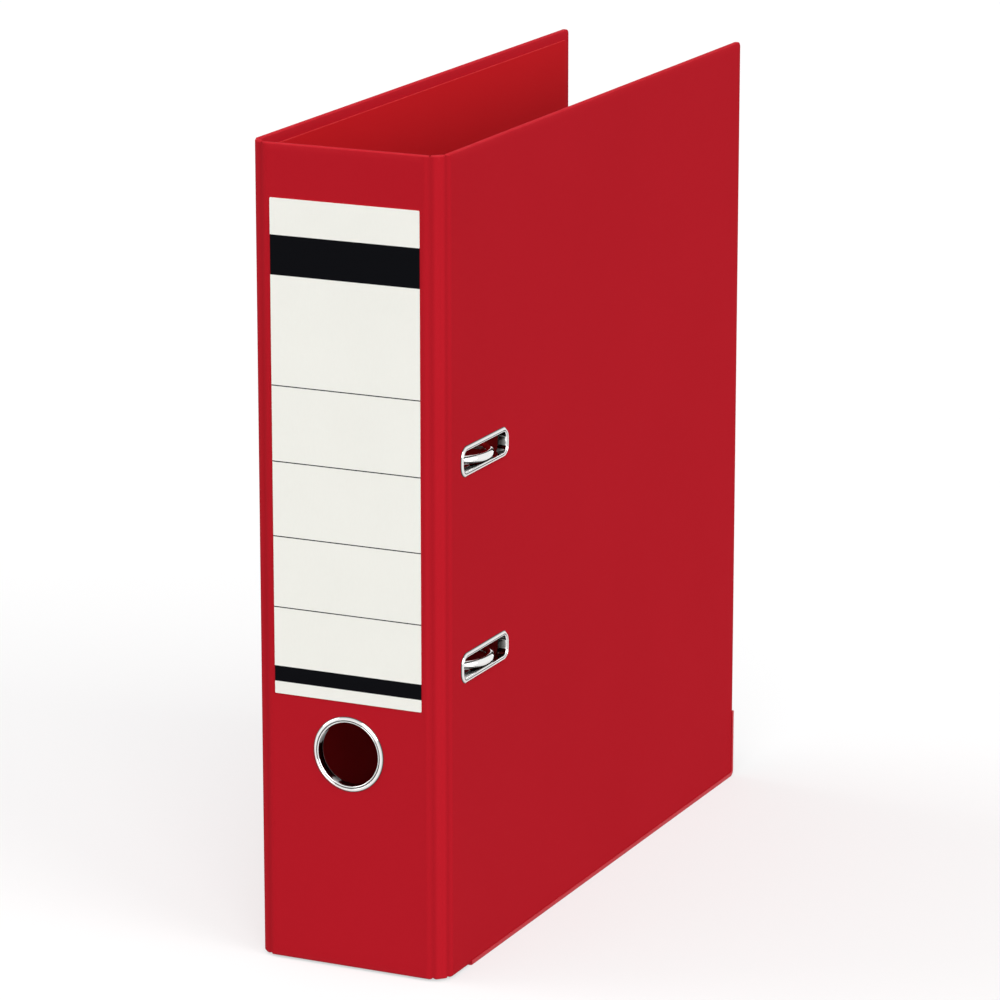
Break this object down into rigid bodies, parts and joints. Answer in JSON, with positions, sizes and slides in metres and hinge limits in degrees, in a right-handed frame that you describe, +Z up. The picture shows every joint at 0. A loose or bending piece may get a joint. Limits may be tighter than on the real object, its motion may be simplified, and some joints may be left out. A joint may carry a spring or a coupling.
{
  "type": "lever arch file",
  "caption": "Upright A4 lever arch file: creased red board case with a blank spine label, finger ring, slotted front cover and a sprung lever that opens wire arches.",
  "frame": {"origin": "on the floor, under the middle of the closed file", "axes": "+X from the rear cover to the front cover, +Y from the spine to the fore-edge, +Z up"},
  "size_m": [0.0816, 0.2868, 0.318],
  "materials": {
    "red_covering": "matt red paper covering, finely grained, on grey board",
    "red_lining": "smooth matt red lining paper",
    "red_lacquer": "glossy red lacquer on thin steel",
    "label_paper": "white label paper with printed black bars and lines",
    "chrome_plate": "bright chrome plating",
    "nickel_steel": "nickel-plated pressed steel",
    "black_plastic": "black moulded plastic"
  },
  "bodies": {
    "rear_cover": {"rear_cover_board": "red_covering", "rear_cover_liner": "red_lining", "rear_edge_rail": "red_lacquer", "base_plate": "nickel_steel", "plate_rivet_1": "nickel_steel", "plate_rivet_2": "nickel_steel", "plate_rivet_3": "nickel_steel", "plate_rivet_4": "nickel_steel", "upper_post": "chrome_plate", "lower_post": "chrome_plate", "leaf_spring": "nickel_steel", "spring_rivet": "nickel_steel", "lever_pin": "chrome_plate"},
    "rear_strip": {"rear_hinge_strip": "red_covering"},
    "spine": {"spine_board": "red_covering", "spine_liner": "red_lining", "spine_label": "label_paper", "finger_ring": "chrome_plate", "finger_ring_collar": "chrome_plate"},
    "front_strip": {"front_hinge_strip": "red_covering"},
    "front_cover": {"front_cover_board": "red_covering", "front_cover_liner": "red_lining", "front_edge_rail": "red_lacquer", "upper_slot_eyelet": "chrome_plate", "lower_slot_eyelet": "chrome_plate", "upper_slot_collar": "chrome_plate", "lower_slot_collar": "chrome_plate"},
    "arches": {"arch_bail": "chrome_plate"},
    "lever": {"lever": "nickel_steel", "roller_pin": "chrome_plate"},
    "roller": {"lever_roller": "black_plastic"},
    "compressor": {"compressor_bar": "nickel_steel", "upper_compressor_bush": "black_plastic", "lower_compressor_bush": "black_plastic"}
  },
  "joints": [
    {"name": "rear_strip_fold", "type": "hinge", "parent": "rear_cover", "child": "rear_strip", "pos_m": [-0.04, -0.13755, 0.15945], "axis": [0, 0, -1], "range_deg": [0, 45]},
    {"name": "spine_fold", "type": "hinge", "parent": "rear_strip", "child": "spine", "pos_m": [-0.035, -0.14255, 0.15945], "axis": [0, 0, -1], "range_deg": [0, 45]},
    {"name": "front_strip_fold", "type": "hinge", "parent": "spine", "child": "front_strip", "pos_m": [0.035, -0.14255, 0.15945], "axis": [0, 0, -1], "range_deg": [0, 90]},
    {"name": "front_cover_fold", "type": "hinge", "parent": "front_strip", "child": "front_cover", "pos_m": [0.04, -0.13755, 0.15945], "axis": [0, 0, -1], "range_deg": [0, 90]},
    {"name": "arch_swing", "type": "hinge", "parent": "rear_cover", "child": "arches", "pos_m": [-0.0329, -0.12255, 0.15765], "axis": [0, 0, -1], "range_deg": [0, 54]},
    {"name": "lever_lift", "type": "hinge", "parent": "rear_cover", "child": "lever", "pos_m": [-0.0243, -0.10155, 0.15765], "axis": [0, 0, 1], "range_deg": [0, 80]},
    {"name": "roller_spin", "type": "hinge", "parent": "lever", "child": "roller", "pos_m": [-0.0279, -0.10955, 0.15765], "axis": [0, 0, 1], "continuous": true},
    {"name": "compressor_slide", "type": "slide", "parent": "rear_cover", "child": "compressor", "axis": [1, 0, 0], "range_m": [0, 0.033]}
  ],
  "couplings": [
    {"joint": "rear_strip_fold", "follows": "spine_fold", "ratio": 1},
    {"joint": "lever_lift", "follows": "spine_fold", "ratio": 1.7777},
    {"joint": "arch_swing", "follows": "spine_fold", "ratio": 1.2},
    {"joint": "front_strip_fold", "follows": "front_cover_fold", "ratio": 1}
  ]
}
